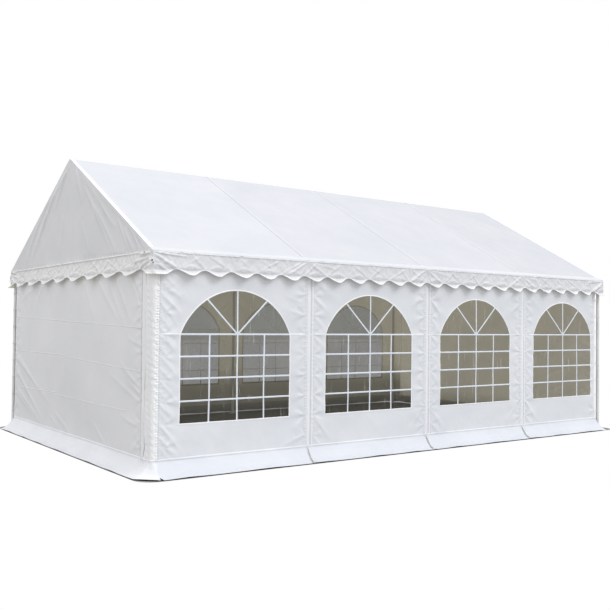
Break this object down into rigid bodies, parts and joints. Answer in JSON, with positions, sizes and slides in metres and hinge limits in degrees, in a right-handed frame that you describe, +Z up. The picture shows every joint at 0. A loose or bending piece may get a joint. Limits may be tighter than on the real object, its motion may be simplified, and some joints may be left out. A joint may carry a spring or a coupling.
{
  "type": "marquee tent",
  "caption": "Free-standing party marquee with a pitched cover, scalloped valance, arched clear windows along both sides, plain gables and ground flaps on a tube frame.",
  "frame": {"origin": "on the ground at the middle of the tent", "axes": "+X along the ridge, +Y across the tent, +Z up; the left gable is at -X and the front windows at -Y"},
  "size_m": [8.414, 5.414, 3.83],
  "materials": {
    "white_steel": "white powder coat, satin",
    "roof_pvc": "white coated fabric, satin",
    "wall_pvc": "white coated fabric, satin",
    "gable_pvc": "white coated fabric, satin",
    "clear_pvc": "clear film, glossy"
  },
  "bodies": {
    "root": {"front_post_1": "white_steel", "front_post_2": "white_steel", "front_post_3": "white_steel", "front_post_4": "white_steel", "front_post_5": "white_steel", "back_post_1": "white_steel", "back_post_2": "white_steel", "back_post_3": "white_steel", "back_post_4": "white_steel", "back_post_5": "white_steel", "roof_bow_1": "white_steel", "roof_bow_2": "white_steel", "roof_bow_3": "white_steel", "roof_bow_4": "white_steel", "roof_bow_5": "white_steel", "ridge_rail": "white_steel", "front_eave_rail": "white_steel", "back_eave_rail": "white_steel", "left_gable_tie": "white_steel", "right_gable_tie": "white_steel", "roof_front": "roof_pvc", "roof_back": "roof_pvc", "front_valance": "roof_pvc", "back_valance": "roof_pvc", "left_gable_end": "gable_pvc", "right_gable_end": "gable_pvc", "left_gable_wall": "gable_pvc", "right_gable_wall": "gable_pvc", "front_wall_1": "wall_pvc", "front_wall_2": "wall_pvc", "front_wall_3": "wall_pvc", "front_wall_4": "wall_pvc", "back_wall_1": "wall_pvc", "back_wall_2": "wall_pvc", "back_wall_3": "wall_pvc", "back_wall_4": "wall_pvc", "front_window_1": "clear_pvc", "front_window_2": "clear_pvc", "front_window_3": "clear_pvc", "front_window_4": "clear_pvc", "back_window_1": "clear_pvc", "back_window_2": "clear_pvc", "back_window_3": "clear_pvc", "back_window_4": "clear_pvc"}
  },
  "joints": []
}
